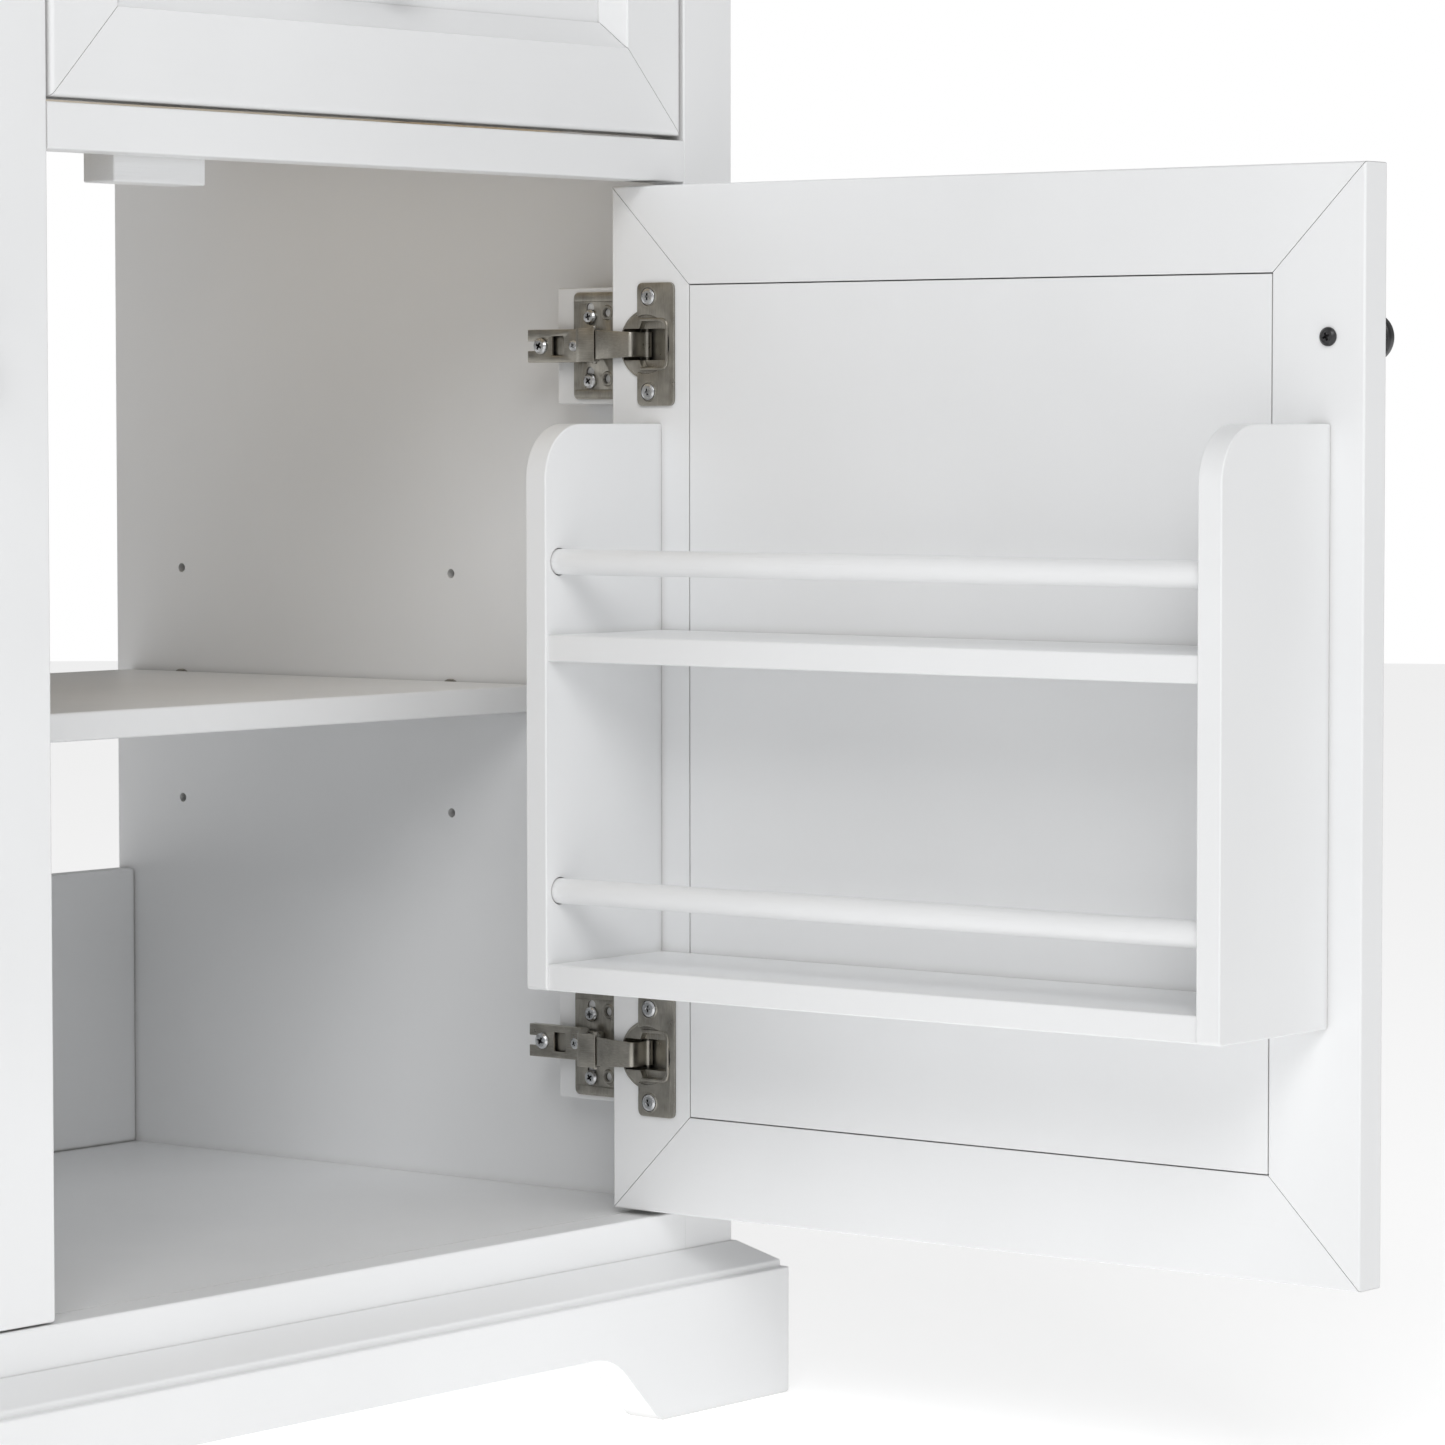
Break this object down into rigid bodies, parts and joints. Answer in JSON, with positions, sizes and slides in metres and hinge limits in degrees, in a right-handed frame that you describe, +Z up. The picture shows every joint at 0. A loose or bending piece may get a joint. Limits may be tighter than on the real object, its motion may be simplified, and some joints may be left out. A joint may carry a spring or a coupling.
{
  "type": "pantry cabinet",
  "caption": "Free-standing face-framed pantry cabinet on bracket feet, with inset drawers over inset framed doors; door backs carry racks of shelves and retaining rods.",
  "frame": {"origin": "on the floor under the middle of the case, half way between the two sides and between the frame's face and the back edges", "axes": "+X to the right seen from the front, +Y from the front to the back, +Z up"},
  "size_m": [1.062, 0.8495, 0.87],
  "materials": {
    "white_paint": "satin white painted board",
    "painted_dowel": "satin white painted dowel, faint grain",
    "lacquered_wood": "pale clear-lacquered wood",
    "nickel_hinge": "brushed nickel plate",
    "screw_steel": "bright zinc plate",
    "zinc_slide": "zinc plated steel",
    "black_metal": "satin black"
  },
  "bodies": {
    "carcass": {"base_bearers": "lacquered_wood", "bottom_panel": "white_paint", "bottom_rail": "white_paint", "cabinet_slides": "zinc_slide", "centre_mullion": "white_paint", "centre_partition": "white_paint", "door_stops": "white_paint", "foot_blocks": "lacquered_wood", "hinge_arms": "nickel_hinge", "hinge_plate_screws": "screw_steel", "hinge_plates": "nickel_hinge", "hinge_spacer_blocks": "white_paint", "low_back_rails": "white_paint", "mid_rails": "white_paint", "plinth_front": "white_paint", "plinth_left": "white_paint", "plinth_right": "white_paint", "shelf_left": "white_paint", "shelf_right": "white_paint", "shelf_supports": "nickel_hinge", "side_panel_left": "white_paint", "side_panel_right": "white_paint", "slide_spacers": "lacquered_wood", "stile_left": "white_paint", "stile_right": "white_paint", "top_board": "white_paint", "top_rail": "white_paint", "upper_back_rails": "white_paint"},
    "right_door": {"right_door_bottom_rail": "white_paint", "right_door_cup_screws": "screw_steel", "right_door_free_stile": "white_paint", "right_door_hinge_cups": "nickel_hinge", "right_door_hinge_stile": "white_paint", "right_door_knob": "black_metal", "right_door_knob_screw": "black_metal", "right_door_panel": "white_paint", "right_door_rack_free_side": "white_paint", "right_door_rack_hinge_side": "white_paint", "right_door_rack_lower_shelf": "white_paint", "right_door_rack_rods": "painted_dowel", "right_door_rack_upper_shelf": "white_paint", "right_door_top_rail": "white_paint"},
    "left_door": {"left_door_frame": "white_paint", "left_door_hinge_cups": "nickel_hinge", "left_door_knob": "black_metal", "left_door_panel": "white_paint", "left_door_rack": "white_paint", "left_door_screws": "screw_steel"},
    "right_drawer": {"right_drawer_bottom": "lacquered_wood", "right_drawer_box": "lacquered_wood", "right_drawer_front_frame": "white_paint", "right_drawer_front_panel": "white_paint", "right_drawer_knob": "black_metal", "right_drawer_slides": "zinc_slide"},
    "left_drawer": {"left_drawer_bottom": "lacquered_wood", "left_drawer_box": "lacquered_wood", "left_drawer_front_frame": "white_paint", "left_drawer_front_panel": "white_paint", "left_drawer_knob": "black_metal", "left_drawer_slides": "zinc_slide"}
  },
  "joints": [
    {"name": "right_door_hinge", "type": "hinge", "parent": "carcass", "child": "right_door", "pos_m": [0.4535, -0.204, 0.363], "axis": [0, 0, 1], "range_deg": [-90, 10]},
    {"name": "left_door_hinge", "type": "hinge", "parent": "carcass", "child": "left_door", "pos_m": [-0.4535, -0.204, 0.363], "axis": [0, 0, 1], "range_deg": [-100, 0]},
    {"name": "right_drawer_slide", "type": "slide", "parent": "carcass", "child": "right_drawer", "axis": [0, -1, 0], "range_m": [0, 0.26]},
    {"name": "left_drawer_slide", "type": "slide", "parent": "carcass", "child": "left_drawer", "axis": [0, -1, 0], "range_m": [0, 0.26]}
  ]
}
